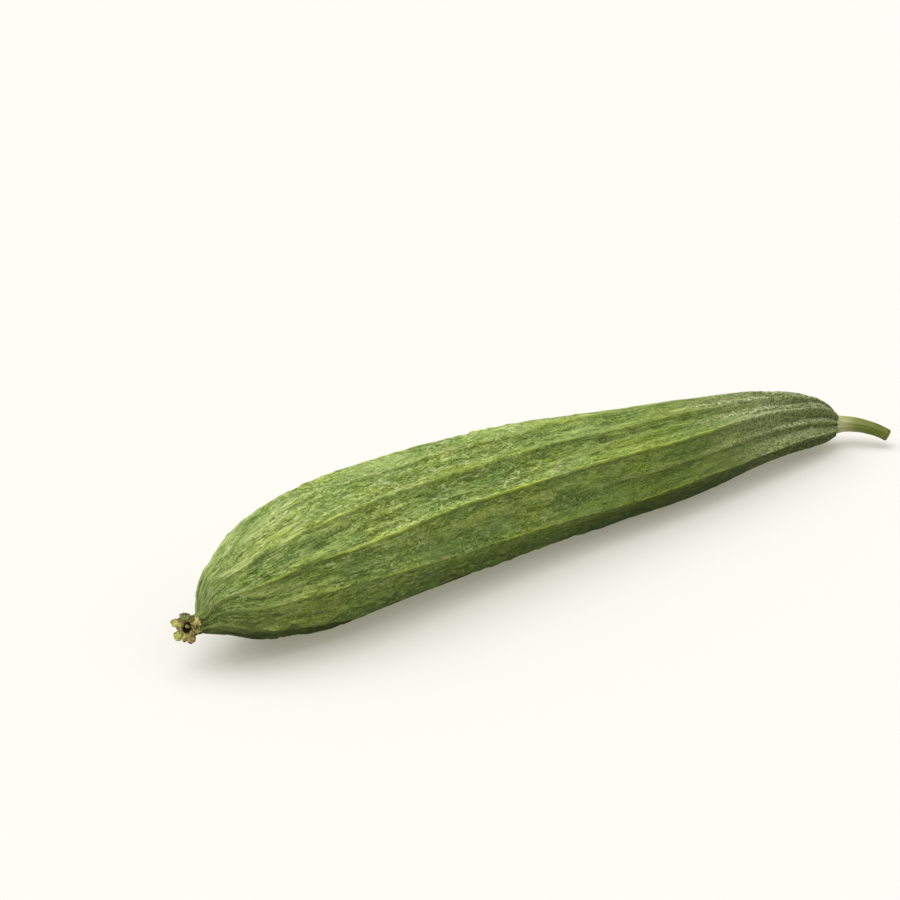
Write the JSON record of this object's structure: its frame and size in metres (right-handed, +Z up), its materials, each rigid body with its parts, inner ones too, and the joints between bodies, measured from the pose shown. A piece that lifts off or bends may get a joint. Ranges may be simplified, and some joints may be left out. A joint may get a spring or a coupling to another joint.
{
  "type": "ridge gourd",
  "caption": "Long ridged green gourd lying on its side, with a bent cut stalk at the narrow end and a dried flower cup at the blunt end.",
  "frame": {"origin": "on the resting surface, under the middle of the bounding box", "axes": "+X along the body from its blossom end to its stem end, +Z up, -Y the side that the picture shows"},
  "size_m": [0.3698, 0.059, 0.0554],
  "materials": {
    "gourd_skin": null,
    "cut_stalk": "fresh ribbed stalk, pale green at its root and olive at the cut",
    "dried_flower": "half dried flower cup, yellow green with brown edges, matt",
    "dried_style": "dry dark brown stub, matt"
  },
  "bodies": {
    "root": {"fruit": "gourd_skin", "stalk": "cut_stalk", "calyx": "dried_flower", "style": "dried_style"}
  },
  "joints": []
}
